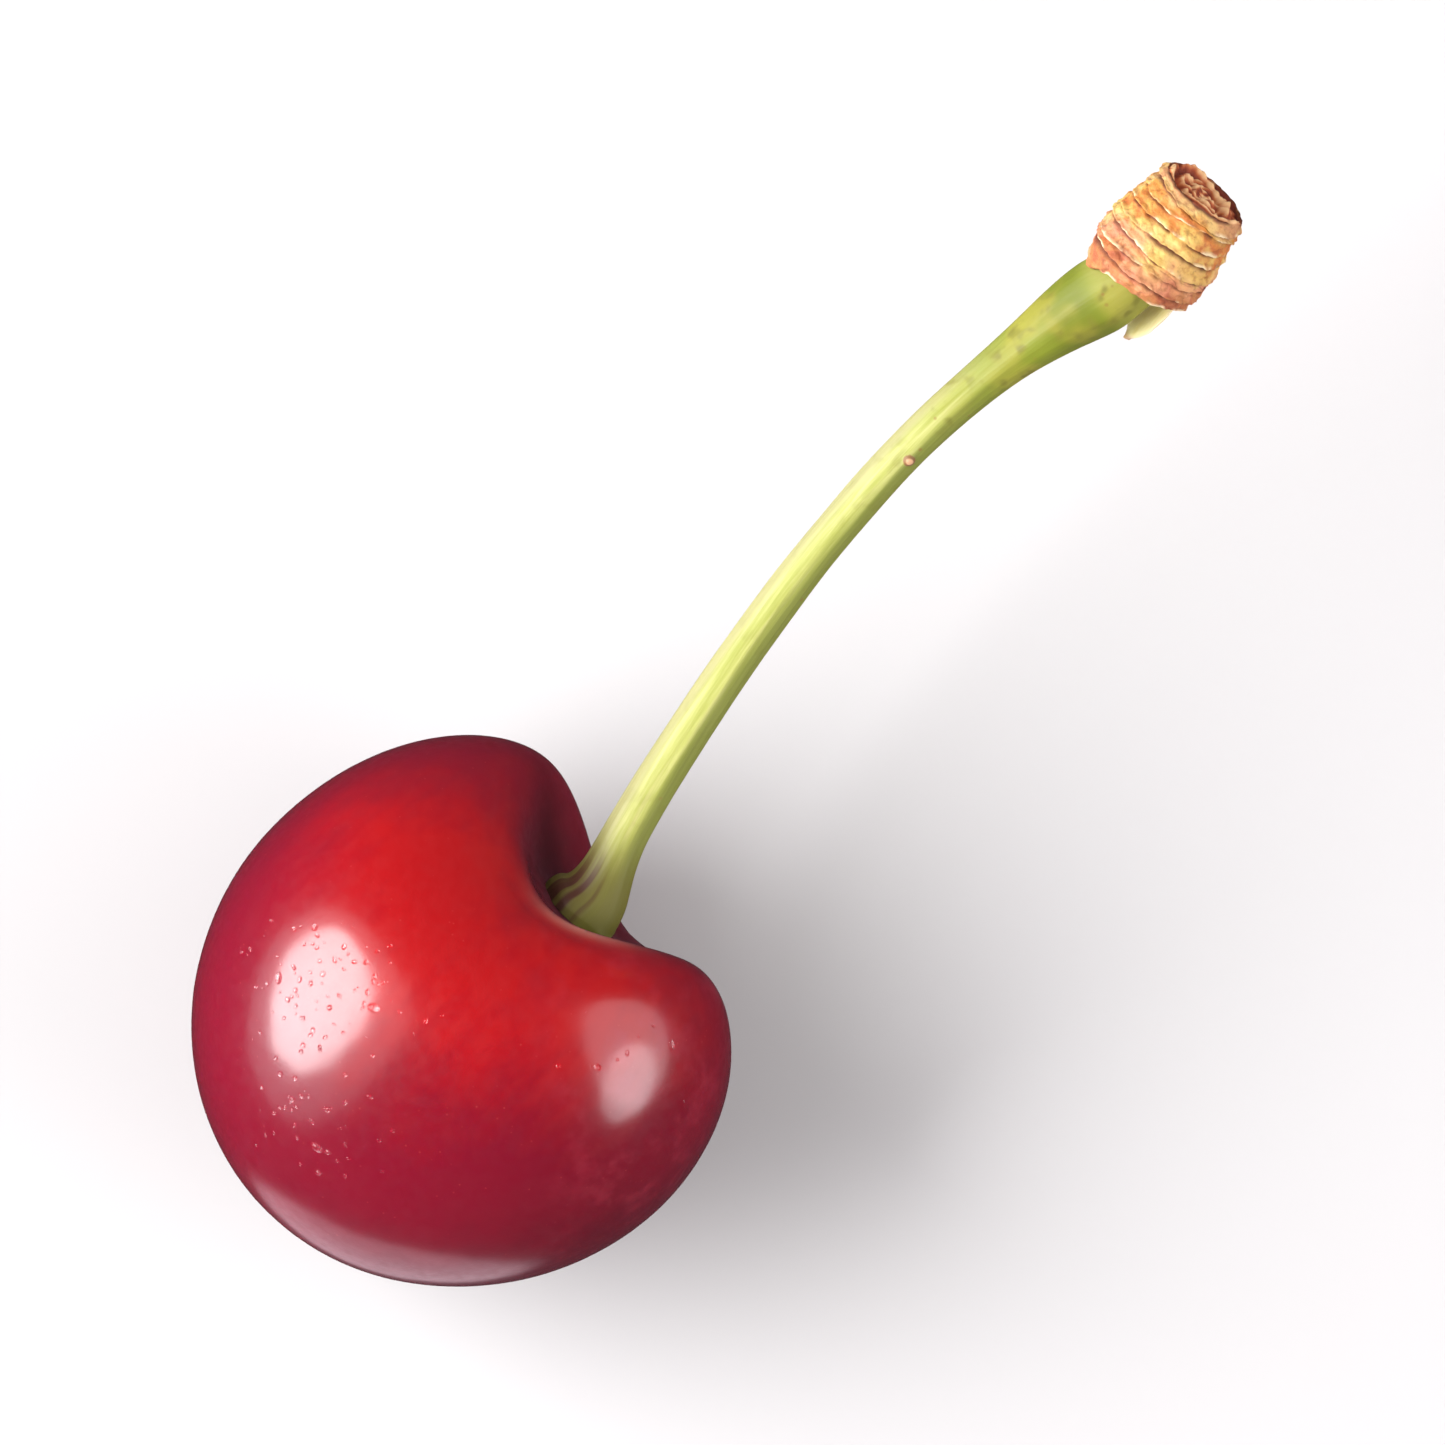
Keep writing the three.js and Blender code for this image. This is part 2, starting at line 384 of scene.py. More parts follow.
def uneven_skin(own):
    """The skin's points moved in and out by soft dents and a finer peel."""
    outward = own / np.linalg.norm(own, axis=-1, keepdims=True)
    dents = DENT_HEIGHT * fine_noise(own, DENTS_PER_MM, seed=1)
    peel = PEEL_HEIGHT * fine_noise(own, PEEL_PER_MM, seed=2)
    return own + outward * (dents + peel)[..., None]


def mark_fruit(fruit, down, around):
    """Tells the material where the cavity's painted shade, the tip, the furrow's painted shade and
    the painted highlight on the cavity's rim lie.
    """
    painted_cavity_shade = 1 - smooth_step(down, CAVITY_SHADE_FULL, CAVITY_SHADE_END)
    at_tip = bell(math.pi - down, TIP_SPOT_WIDTH)
    at_lip = bell(turned_from(around, LIP_AROUND), LIP_WIDTH)
    # Painted highlight on the cavity's near rim.
    painted_rim_highlight = bell(down - LIP_DOWN, LIP_HEIGHT) * at_lip
    # Painted shade along the suture's furrow.
    painted_furrow_shade = bell(around - SUTURE_AROUND, FURROW_SHADE_WIDTH) * np.sin(down) ** 0.5
    for name, grid, top, bottom in [
        ("cavity", painted_cavity_shade, 1.0, 0.0),
        ("tip", at_tip, 0.0, 1.0),
        ("furrow", painted_furrow_shade, 0.0, 0.0),
        ("lip", painted_rim_highlight, 0.0, 0.0),
    ]:
        set_attribute(fruit, name, top, grid, bottom)


def make_fruit():
    """The skin, flattened where it rests on the floor."""
    step = math.pi / FRUIT_ROWS
    down = (np.arange(1, FRUIT_ROWS) * step)[:, None]
    down, around = np.broadcast_arrays(down, whole_turn(FRUIT_SEGMENTS)[None, :])
    points = lay_down(uneven_skin(fruit_points(down, around)))
    points[..., 2] = np.maximum(points[..., 2], 0)
    ends = lay_down(fruit_points(np.array([0.0, math.pi]), np.array([0.0, 0.0])))
    fruit = closed_skin("fruit_skin", ends[0], points, ends[1])
    mark_fruit(fruit, down, around)
    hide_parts("fruit")
    return fruit


# ======== Stalk ========


def curve_piece(before, start, end, after, steps):
    """One stretch of a centripetal Catmull-Rom curve."""
    gaps = [np.linalg.norm(b - a) ** 0.5 for a, b in ((before, start), (start, end), (end, after))]
    first, middle, last = gaps
    out = (start - before) / first - (end - before) / (first + middle) + (end - start) / middle
    into = (end - start) / middle - (after - start) / (middle + last) + (after - end) / last
    out, into = out * middle, into * middle
    t = np.linspace(0, 1, steps, endpoint=False)[:, None]
    return (
        start * (2 * t**3 - 3 * t**2 + 1)
        + out * (t**3 - 2 * t**2 + t)
        + end * (3 * t**2 - 2 * t**3)
        + into * (t**3 - t**2)
    )


def smooth_route(points, steps=200):
    """A dense route through the points, with the ends carried straight on."""
    points = [2 * points[0] - points[1], *points, 2 * points[-1] - points[-2]]
    stretches = [
        curve_piece(*points[index : index + 4], steps) for index in range(len(points) - 3)
    ]
    return np.vstack([*stretches, points[-2]])


def on_knob_axis(height):
    """Points on the knob's axis, at heights up from the end that holds the stalk."""
    return KNOB_BASE + FRUIT_CENTRE + np.multiply.outer(height, KNOB_DIRECTION)


class Stalk:
    """The stalk's centre line, and a frame at any distance from its foot."""

    def __init__(self):
        points = [
            over_cavity_floor(FOOT_GAP),
            over_cavity_floor(FOOT_GAP + STRAIGHT_FOOT),
            *[np.array(point) + FRUIT_CENTRE for point in STALK_ROUTE],
            on_knob_axis(HEAD_IN_SOCKET),
        ]
        self.route = smooth_route(points)
        steps = np.linalg.norm(np.diff(self.route, axis=0), axis=1)
        self.distance = np.concatenate([[0], np.cumsum(steps)])
        self.length = self.distance[-1]

    def centre(self, from_foot):
        """Points of the centre line, carried straight on past its ends."""
        inside = np.clip(from_foot, 0, self.length)
        line = [np.interp(inside, self.distance, self.route[:, axis]) for axis in range(3)]
        past = np.asarray(from_foot - inside)[..., None]
        return np.stack(line, axis=-1) + past * self.direction_inside(inside)

    def direction_inside(self, inside):
        """The line's direction at distances that lie between its ends."""
        reach = 0.05
        low = np.clip(inside - reach, 0, self.length - 2 * reach)
        ends = []
        for place in (low, low + 2 * reach):
            ends.append([np.interp(place, self.distance, self.route[:, a]) for a in range(3)])
        direction = np.stack(ends[1], axis=-1) - np.stack(ends[0], axis=-1)
        return direction / np.linalg.norm(direction, axis=-1, keepdims=True)

    def frame(self, from_foot):
        """Centre, side and upper side at distances from the foot."""
        direction = self.direction_inside(np.clip(from_foot, 0, self.length))
        side = np.cross([0.0, 0.0, 1.0], direction)
        side /= np.linalg.norm(side, axis=-1, keepdims=True)
        return self.centre(from_foot), side, np.cross(direction, side)


def ring_points(centre, side, upper, radius, around):
    """Rows of points round centres, each row with its own radius at each angle."""
    return (
        centre[:, None, :]
        + side[:, None, :] * (radius * np.cos(around))[..., None]
        + upper[:, None, :] * (radius * np.sin(around))[..., None]
    )


def stalk_radius(from_foot, around, length):
    """The stalk's radius: a flared, lobed foot and a thick head that tucks in at its end."""
    inside = np.maximum(from_foot, 0)
    lower = LOWER_SWELL * np.exp(-inside / LOWER_REACH)
    foot = FOOT_FLARE * np.exp(-((inside / FOOT_REACH) ** FOOT_SHARPNESS))
    head = HEAD_SWELL * bell(length - from_foot, HEAD_REACH)
    lobes = 1 + FOOT_LOBE_DEPTH * np.cos(FOOT_LOBES * around) * np.exp(-inside / FOOT_LOBE_REACH)
    tuck = 1 - HEAD_TUCK * bell(length - from_foot, HEAD_TUCK_REACH)
    return (STALK_RADIUS + lower + foot + head) * lobes * tuck


def rind_noise(from_foot, around, spread, stretch, seed):
    """Noise on the rind: spread out round the stalk, and drawn out along it."""
    place = np.stack([spread * np.cos(around), spread * np.sin(around), stretch * from_foot], axis=-1)
    return fine_noise(place, 1.0, seed)


def rind_relief(from_foot, around):
    """The rind's lengthwise ridges, fine grain and soft lumps, fainter on the foot."""
    turned = around + RIDGE_TURN_PER_MM * from_foot
    wander = RIDGE_WANDER * np.sin(0.6 * from_foot + 2 * around)
    ridges = BROAD_RIDGE_HEIGHT * np.sin(BROAD_RIDGES * turned + wander)
    ridges += NARROW_RIDGE_HEIGHT * np.sin(NARROW_RIDGES * turned - 0.4 * from_foot)
    grain = RIND_GRAIN_HEIGHT * rind_noise(from_foot, around, spread=4, stretch=0.35, seed=5)
    lumps = RIND_LUMP_HEIGHT * rind_noise(from_foot, around, spread=1, stretch=0.22, seed=6)
    past_foot = smooth_step(from_foot, FOOT_RELIEF_START, FOOT_RELIEF_END)
    return (ridges + grain + lumps) * (FOOT_RELIEF + (1 - FOOT_RELIEF) * past_foot)


def wart_at(stalk, from_foot, around):
    """1 at the wart's middle and 0 from its edge on."""
    wart_from_foot = np.interp(WART_X, stalk.route[:, 0], stalk.distance)
    beside_wart = turned_from(around, WART_AROUND) * STALK_RADIUS
    distance = np.hypot(from_foot - wart_from_foot, beside_wart)
    return np.clip(1 - distance / WART_RADIUS, 0, 1)


def stalk_rows(stalk):
    """Distances from the foot, from the head down, closer together towards both ends."""
    low = -FOOT_GAP - FOOT_SINK
    step = np.linspace(0, 1, STALK_ROWS)
    eased = 0.4 * step + 0.6 * (0.5 - 0.5 * np.cos(step * math.pi))
    return stalk.length - (stalk.length - low) * eased


def make_stalk(stalk):
    """The stalk with its fine lengthwise ridges and its wart."""
    from_foot = stalk_rows(stalk)[:, None]
    from_foot, around = np.broadcast_arrays(from_foot, whole_turn(STALK_SIDES)[None, :])
    wart = wart_at(stalk, from_foot, around)
    radius = stalk_radius(from_foot, around, stalk.length) + rind_relief(from_foot, around)
    radius = radius + WART_HEIGHT * smooth_step(wart, 0, WART_FLAT_TOP)

    centre, side, upper = stalk.frame(from_foot[:, 0])
    grid = ring_points(centre, side, upper, radius, around)
    piece = closed_skin("stalk_rind", centre[0], grid, centre[-1])
    set_attribute(piece, "along", 1.0, from_foot / stalk.length, 0.0)
    set_attribute(piece, "streak_x", 0.0, np.cos(around), 0.0)
    set_attribute(piece, "streak_y", 0.0, np.sin(around), 0.0)
    set_attribute(piece, "wart", 0.0, wart, 0.0)
    piece.visible_glossy = False
    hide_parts("stalk")
    return piece


# ======== Knob ========


def seeded_numbers(seed):
    """The same repeatable numbers as in the CAD, from 0 to 1."""
    state = seed
    while True:
        state = (state * 16807) % 2147483647
        yield state / 2147483647


numbers = seeded_numbers(KNOB_SEED)
RING_PHASES = [(next(numbers) * FULL_TURN, next(numbers) * FULL_TURN) for _ in RING_EDGES]


def ring_edge(ring, around):
    """Height of one ring's lower edge: slanted, waving and ragged, with a flap on the first."""
    slow, quick = RING_PHASES[ring]
    wave = END_WAVE_SHARE * RING_WAVE if ring in (0, LAST_RING) else RING_WAVE
    slant = RING_SLANT * (1 - ring / LAST_RING) * (0.5 - 0.5 * np.cos(around))
    waving = wave * (np.sin(around + slow) + 0.5 * np.sin(3 * around + quick))
    torn_edge = 0 if ring == LAST_RING else RAGGEDNESS * ragged_line(around, ring)
    flap = FLAP_LENGTH * bell(turned_from(around, FLAP_AROUND), FLAP_WIDTH) if ring == 0 else 0
    return RING_EDGES[ring] + slant + waving + torn_edge - flap


def ragged_line(around, ring):
    """A repeatable ragged line round the knob, from about -1 to 1."""
    place = np.stack([2.2 * np.cos(around), 2.2 * np.sin(around), 3.7 * ring + 0 * around], axis=-1)
    return fine_noise(place, 1.5, seed=31) + 0.5 * fine_noise(place, 4.0, seed=32)


def smooth_line(around, number):
    """A repeatable, slowly changing line round the knob, from about -1 to 1."""
    place = np.stack([np.cos(around), np.sin(around), 5.3 * number + 0 * around], axis=-1)
    return 2 * fine_noise(place, 1.1, seed=33)


def knob_radius(height):
    """The knob's own radius, before its scales."""
    along = np.maximum(height / RING_EDGES[-1], 0.03)
    return KNOB_END_RADIUS + KNOB_SWELL * np.sin(math.pi * along**0.55)


def knob_frame():
    """Two directions across the knob's axis: level, and upwards."""
    side = unit(np.cross([0.0, 0.0, 1.0], KNOB_DIRECTION))
    return side, np.cross(KNOB_DIRECTION, side)


def on_knob(height, radius, around):
    """Points round the knob's axis."""
    side, upper = knob_frame()
    return (
        on_knob_axis(height)
        + np.multiply.outer(radius * np.cos(around), side)
        + np.multiply.outer(radius * np.sin(around), upper)
    )


def split_at(ring, around, within):
    """How much of a split there is in a ring's scale: each runs up a little way from the lip."""
    rng = random.Random(100 + ring)
    split = 0 * around
    for _ in range(SPLITS_PER_RING):
        place = rng.uniform(0, FULL_TURN) + 0.1 * math.sin(6 * within + ring) + 0.3 * within
        reach = rng.uniform(0.3, 0.9)
        width = SPLIT_WIDTH * max(1 - within / reach, 0.01)
        split = np.maximum(split, (within < reach) * bell(turned_from(around, place), width))
    return split


def ring_rows(ring, around):
    """(heights, radii, ring, torn, split) for each row of one ring, from its free lip up."""
    lower, upper = ring_edge(ring, around), ring_edge(ring + 1, around)
    lobe = LOBE_HEIGHT * np.sin(LOBES_PER_RING * around + RING_PHASES[ring][0])
    bulge = BULGE_HEIGHT * smooth_line(around, ring)
    lip_size = LIP_THICKNESS + LIP_CURL * np.maximum(smooth_line(around, ring + 20), 0)
    rows = []
    for within in np.linspace(0.02, 0.98, ROWS_PER_RING):
        height = lower + (upper - lower) * within
        split = split_at(ring, around, within)
        radius = knob_radius(height) + RING_STEP * (0.5 - within) + lobe
        radius = radius + lip_size * bell(within, LIP_SHARE) + bulge * (1 - within)
        radius = radius - SPLIT_DEPTH * split
        radius = radius - FLAP_TAPER * np.maximum(-height, 0)
        rows.append((height, radius, ring + within, 0, split))
    return rows


def socket_rows(around):
    """Rows as in ring_rows, from the socket's floor to its mouth."""
    ones = np.ones_like(around)
    mouth = ring_edge(0, around)
    rows = [(SOCKET_DEPTH * ones, SOCKET_RADIUS * share * ones, 0, 0, 0) for share in (0.3, 0.7, 1)]
    for inward, wider in ((0.25, 0.02), (0.02, 0.06)):
        rows.append((mouth + inward, (SOCKET_RADIUS + wider) * ones, 0, 0, 0))
    return rows


def torn_rows(around):
    """Rows as in ring_rows, over the torn end from its rim to its middle."""
    rows = []
    for radius in np.linspace(2.2, 0.1, TORN_ROWS):
        level = np.interp(radius, TORN_RADII, TORN_LEVELS)
        wave = np.sin(2 * around + 5 * radius) + np.sin(5 * around - 3 * radius)
        height = RING_EDGES[-1] + level + TORN_ROUGHNESS * wave * min(radius, 1) * TORN_WAVE_SHARE
        rows.append((height, radius * np.ones_like(around), LAST_RING, 1, 0))
    return rows


def knob_rows(around):
    """Rows as in ring_rows, over the whole knob from the socket to the torn end."""
    rows = socket_rows(around)
    for ring in range(LAST_RING):
        rows += ring_rows(ring, around)
    return rows + torn_rows(around)


def creases_at(place):
    """1 along the bark's fine cross creases and 0 away from them."""
    return bell(fine_noise(place * np.array([0.75, 0.75, 2.1]), 0.9, seed=17), CREASE_WIDTH)


def bark_relief(place):
    """The bark's wrinkles, flakes and pits."""
    wrinkles = WRINKLE_HEIGHT * fine_noise(place * np.array([0.8, 0.8, 2.6]), 1.5, seed=11)
    flakes = FLAKE_HEIGHT * fine_noise(place, 2.6, seed=12)
    pits = PIT_DEPTH * fine_noise(place, 5.0, seed=13)
    return wrinkles + flakes + pits


def torn_crests(place, radii, angles):
    """How far the torn end's thin layers and splinters stand up, from about -1 to 1."""
    layer_place = np.stack([3.4 * radii, 1.2 * np.cos(angles), 1.2 * np.sin(angles)], axis=-1)
    layers = fine_noise(layer_place, 1.0, seed=15)
    splinters = fine_noise(place * np.array([1.0, 1.0, 0.2]), 4.0, seed=16)
    return layers + SPLINTER_SHARE * splinters


def make_knob():
    """The knob's body: scaly rings, creases between them and a torn end of thin ragged layers."""
    around = whole_turn(KNOB_SEGMENTS)
    columns = zip(*knob_rows(around))
    heights, radii, rings, torn, splits = [
        np.array([value + 0 * around for value in column]) for column in columns
    ]
    angles = np.broadcast_to(around, heights.shape)

    place = np.stack([radii * np.cos(angles), radii * np.sin(angles), heights], axis=-1)
    outside = (rings > 0) & (torn == 0)
    creases = outside * creases_at(place)
    radii = radii + outside * bark_relief(place) - CREASE_DEPTH * creases
    heights = heights + outside * ROW_SHIFT * fine_noise(place, 2.6, seed=14)
    crests = torn_crests(place, radii, angles)
    layered = smooth_step(radii, LAYERS_START, LAYERS_FULL)
    heights = heights + torn * layered * LAYER_HEIGHT * crests

    grid = on_knob(heights, radii, angles)
    top = on_knob(SOCKET_DEPTH, 0.0, 0.0)
    bottom = on_knob(heights[-1].mean(), 0.0, 0.0)
    piece = closed_skin("knob_wood", top, grid[:, ::-1], bottom)
    # Splits and creases, where the material paints shade.
    cracks = np.maximum(0.6 * splits, 0.4 * creases)
    attributes = {"ring": rings, "torn": torn, "crack": cracks, "crest": crests * torn}
    for name, values in attributes.items():
        set_attribute(piece, name, 0.0, values[:, ::-1], values[-1, 0])
    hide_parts("knob")
    return piece


# ======== Bract ========


def make_bract():
    """The small green scale at the knob's foot, thin and pointed, with a keel and curled edges.

    It is widest past its middle, and narrower again at its root.
    """
    from_tip = ((np.arange(BRACT_ROWS) + 0.5) / BRACT_ROWS)[:, None]
    from_tip, loop = np.broadcast_arrays(from_tip, whole_turn(BRACT_SIDES)[None, :])
    half_width = BRACT_HALF_WIDTH * np.sin(math.pi * from_tip**1.6 * 0.93) ** 0.6
    across = half_width * np.cos(loop)
    thinning = np.sqrt(np.maximum(1 - (0.9 * np.cos(loop)) ** 2, 0.05))
    curled = BRACT_CURL * (across / BRACT_HALF_WIDTH) ** 2
    keel = BRACT_KEEL * bell(across, BRACT_KEEL_WIDTH) * (np.sin(loop) > 0)
    out = BRACT_HALF_THICKNESS * thinning * np.sin(loop) + curled + keel * np.sin(loop)
    radius = BRACT_RADIUS + BRACT_FLARE * (1 - from_tip) + out
    height = BRACT_ROOT_HEIGHT - BRACT_LENGTH * (1 - from_tip)
    around = BRACT_AROUND + across / BRACT_RADIUS
    grid = on_knob(height, radius, around)
    wrinkle = BRACT_WRINKLE * fine_noise(grid, 3.0, seed=21)
    grid = on_knob(height, radius + wrinkle, around)
    tip = on_knob(BRACT_ROOT_HEIGHT - BRACT_LENGTH, BRACT_RADIUS + BRACT_FLARE, BRACT_AROUND)
    root = on_knob(BRACT_ROOT_HEIGHT, BRACT_RADIUS, BRACT_AROUND)
    piece = closed_skin("bract_scale", tip, grid, root)
    set_attribute(piece, "edge", 1.0, np.abs(np.cos(loop)) ** 3, 0.0)
    set_attribute(piece, "dried", 1.0, 1 - smooth_step(from_tip, 0.04, 0.16), 0.0)
    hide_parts("bract")
    return piece


# ======== Droplets ========

# Centre and spread, in millimetres in the frame seen from above, and number of droplets.
DEW_PATCHES = [
    ((-3.5, 5.9), (1.6, 1.7), 80),
    ((-8.2, 2.6), (1.4, 2.1), 46),
    ((-0.9, 3.2), (0.5, 1.2), 12),
    ((4.3, -7.1), (1.5, 1.8), 10),
]
DEW_SEED = 5
DEW_SIDES = 12
DEW_RINGS = 4

# Least and greatest radius and stretch of a droplet, and how much larger some are.
DEW_RADIUS = (0.06, 0.16)
DEW_STRETCH = (0.8, 1.35)
BIG_DROP = 1.9
BIG_DROP_SHARE = 0.1

# Height as a share of the radius, depth in the skin, and the least rise of the skin's normal.
DEW_HEIGHT = 0.55
DEW_SINK = 0.015
DEW_LEAST_RISE = 0.35


def drop_points(size, stretch):
    """Points of one flattened cap, ring by ring from its foot to its top."""
    points = []
    for ring in range(DEW_RINGS + 1):
        lean = math.pi / 2 * ring / DEW_RINGS
        for side in range(DEW_SIDES if ring < DEW_RINGS else 1):
            a = FULL_TURN * side / DEW_SIDES
            flat = Vector((math.cos(a) * stretch, math.sin(a) / stretch, 0)) * math.cos(lean)
            rise = DEW_HEIGHT * size * math.sin(lean) - DEW_SINK
            points.append(flat * size + Vector((0, 0, rise)))
    return points


def drop_faces(first):
    """Faces of one cap whose points start at first, with a flat underside."""
    faces = []
    top = first + DEW_RINGS * DEW_SIDES
    for ring in range(DEW_RINGS):
        for side in range(DEW_SIDES):
            a = first + ring * DEW_SIDES + side
            b = first + ring * DEW_SIDES + (side + 1) % DEW_SIDES
            is_last = ring == DEW_RINGS - 1
            faces.append((a, b, top) if is_last else (a, b, b + DEW_SIDES, a + DEW_SIDES))
    faces.append(tuple(first + side for side in reversed(range(DEW_SIDES))))
    return faces


def make_droplets(fruit):
    """Fine dew on the upper skin: flattened caps that sit on it."""
    rng = random.Random(DEW_SEED)
    tree = BVHTree.FromObject(fruit, bpy.context.evaluated_depsgraph_get())
    points, faces = [], []
    for (x, y), (spread_x, spread_y), count in DEW_PATCHES:
        for _ in range(count):
            above = Vector((rng.gauss(x, spread_x), rng.gauss(y, spread_y), 60)) * MM
            size = rng.uniform(*DEW_RADIUS) * (BIG_DROP if rng.random() < BIG_DROP_SHARE else 1)
            stretch = rng.uniform(*DEW_STRETCH)
            spin = rng.uniform(0, FULL_TURN)
            hit, normal, _, _ = tree.ray_cast(above, Vector((0, 0, -1)))
            if hit is None or normal.z < DEW_LEAST_RISE:
                continue
            turn = normal.to_track_quat("Z", "Y").to_matrix() @ Matrix.Rotation(spin, 3, "Z")
            faces += drop_faces(len(points))
            points += [np.array(hit / MM + turn @ point) for point in drop_points(size, stretch)]
    piece = new_piece("dew", points, faces)
    piece.visible_shadow = False
    return piece


# ======== Materials ========


class Nodes:
    """A short way to write a node tree."""

    def __init__(self, owner):
        owner.use_nodes = True
        self.tree = owner.node_tree
        self.tree.nodes.clear()

    def add(self, kind, inputs=None, **settings):
        node = self.tree.nodes.new(kind)
        for name, value in settings.items():
            setattr(node, name, value)
        for name, value in (inputs or {}).items():
            self.feed(node.inputs[name], value)
        return node

    def feed(self, socket, value):
        """Links another node's output to a socket, or sets the socket to a number or colour."""
        if isinstance(value, bpy.types.NodeSocket):
            self.tree.links.new(value, socket)
        else:
            socket.default_value = value

    def place(self, stretch=(1, 1, 1)):
        """The point of the surface in millimetres, stretched."""
        coordinates = self.add("ShaderNodeTexCoord").outputs["Object"]
        scale = tuple(share / MM for share in stretch)
        return self.add("ShaderNodeMapping", {"Vector": coordinates, "Scale": scale}).outputs[0]

    def attribute(self, name):
        return self.add("ShaderNodeAttribute", attribute_name=name).outputs["Fac"]

    def noise(self, vector, scale, detail=3.0, roughness=0.5, distortion=0.0):
        settings = {
            "Vector": vector,
            "Scale": scale,
            "Detail": detail,
            "Roughness": roughness,
            "Distortion": distortion,
        }
        return self.add("ShaderNodeTexNoise", settings).outputs["Fac"]

    def spots(self, vector, scale, low, high):
        """1 at the middle of scattered small spots, and 0 away from them."""
        cells = self.add("ShaderNodeTexVoronoi", {"Vector": vector, "Scale": scale})
        return self.range(cells.outputs["Distance"], low, high, 1.0, 0.0)

    def range(self, value, low, high, to_low=0.0, to_high=1.0):
        """Runs smoothly from to_low to to_high while the value goes from low to high."""
        settings = {
            "Value": value,
            "From Min": low,
            "From Max": high,
            "To Min": to_low,
            "To Max": to_high,
        }
        node = self.add("ShaderNodeMapRange", settings, interpolation_type="SMOOTHSTEP")
        return node.outputs["Result"]

    def maths(self, operation, first, second=0.0):
        return self.add("ShaderNodeMath", {0: first, 1: second}, operation=operation).outputs[0]

    def total(self, first, *others):
        for other in others:
            first = self.maths("ADD", first, other)
        return first

    def product(self, first, *others):
        for other in others:
            first = self.maths("MULTIPLY", first, other)
        return first

    def reach(self, place, direction):
        """How far a place lies in a direction from the frame's origin."""
        inputs = {0: place, 1: direction}
        node = self.add("ShaderNodeVectorMath", inputs, operation="DOT_PRODUCT")
        return node.outputs["Value"]

    def mix(self, share, first, second):
        """The first colour, with a share of the second."""
        node = self.add("ShaderNodeMix", {0: share}, data_type="RGBA")
        for socket, colour in ((6, first), (7, second)):
            is_fixed = isinstance(colour, tuple)
            self.feed(node.inputs[socket], (*colour, 1.0) if is_fixed else colour)
        return node.outputs[2]

    def ramp(self, value, stops):
        """A colour from stops of (value, colour), blended between them."""
        node = self.add("ShaderNodeValToRGB", {"Fac": value})
        elements = node.color_ramp.elements
        while len(elements) < len(stops):
            elements.new(0.5)
        for element, (position, colour) in zip(elements, stops):
            element.position = position
            element.color = (*colour, 1.0)
        return node.outputs["Color"]

    def bump(self, height, distance, strength):
        settings = {"Height": height, "Distance": distance * MM, "Strength": strength}
        return self.add("ShaderNodeBump", settings).outputs["Normal"]


class Surface(Nodes):
    """A material and its shader."""

    def __init__(self, name):
        self.material = bpy.data.materials.new(name)
        super().__init__(self.material)
        self.shader = self.add("ShaderNodeBsdfPrincipled")
        self.add("ShaderNodeOutputMaterial", {"Surface": self.shader.outputs["BSDF"]})

    def surface(self, **sockets):
        """Sets or links the shader's own sockets; an underscore stands for a space."""
        for name, value in sockets.items():
            self.feed(self.shader.inputs[name.replace("_", " ")], value)


def finish_piece(piece, surface):
    piece.data.materials.clear()
    piece.data.materials.append(surface.material)


# Directions across the frame in which the skin is painted brighter, as painted light, and painted
# darker crimson, as painted shade.
PAINTED_LIGHT_SIDE = (0.86, 0.51, 0.0)
PAINTED_SHADE_SIDE = (-0.67, 0.74, 0.0)

# The marks on the skin, the share of its own colour that each has, and that colour: painted shade in
# the cavity and in the furrow, a painted highlight on the lip at the cavity's rim, and the tip's dark
# scar.
SKIN_MARKS_AND_PAINTED_LIGHT = [
    ("cavity", 0.75, (0.05, 0.002, 0.006)),
    ("lip", 0.85, (0.70, 0.24, 0.18)),
    ("tip", 0.85, (0.1, 0.035, 0.02)),
    ("furrow", 0.45, (0.07, 0.002, 0.008)),
]


def skin_reds_with_painted_shade(m, place):
    """Red skin with painted light and shade: painted brighter higher up and towards one side, and
    painted dark crimson shade round the other sides, over random blotches and streaks of the skin's
    own tone.
    """
    height = m.add("ShaderNodeSeparateXYZ", {"Vector": place}).outputs["Z"]
    blotches = m.noise(place, 0.16, 3.0)
    streaks = m.noise(m.place((0.35, 1.0, 1.0)), 0.8, 5.0, 0.6)
    painted_light_reach = m.reach(place, PAINTED_LIGHT_SIDE)
    # Painted light and shade by height and by side, with the skin's own blotches and streaks.
    level = m.total(
        m.range(height, 7.0, 22.4),
        m.range(blotches, 0.3, 0.7, -0.07, 0.07),
        m.range(streaks, 0.3, 0.7, -0.05, 0.05),
        m.range(painted_light_reach, -9.0, 4.0, -0.5, 0.0),
        m.range(painted_light_reach, 3.0, 10.0, 0.0, 0.18),
    )
    stops = [
        (0.0, (0.14, 0.003, 0.014)),
        (0.3, (0.19, 0.003, 0.016)),
        (0.5, (0.19, 0.002, 0.015)),
        (0.66, (0.22, 0.002, 0.012)),
        (0.8, (0.28, 0.002, 0.009)),
        (0.92, (0.355, 0.002, 0.006)),
        (1.0, (0.39, 0.003, 0.005)),
    ]
    # Painted shade: dark crimson towards one side.
    crimson = m.range(m.reach(place, PAINTED_SHADE_SIDE), 3.0, 10.5, 0.0, 0.85)
    return m.mix(crimson, m.ramp(level, stops), (0.19, 0.002, 0.016))


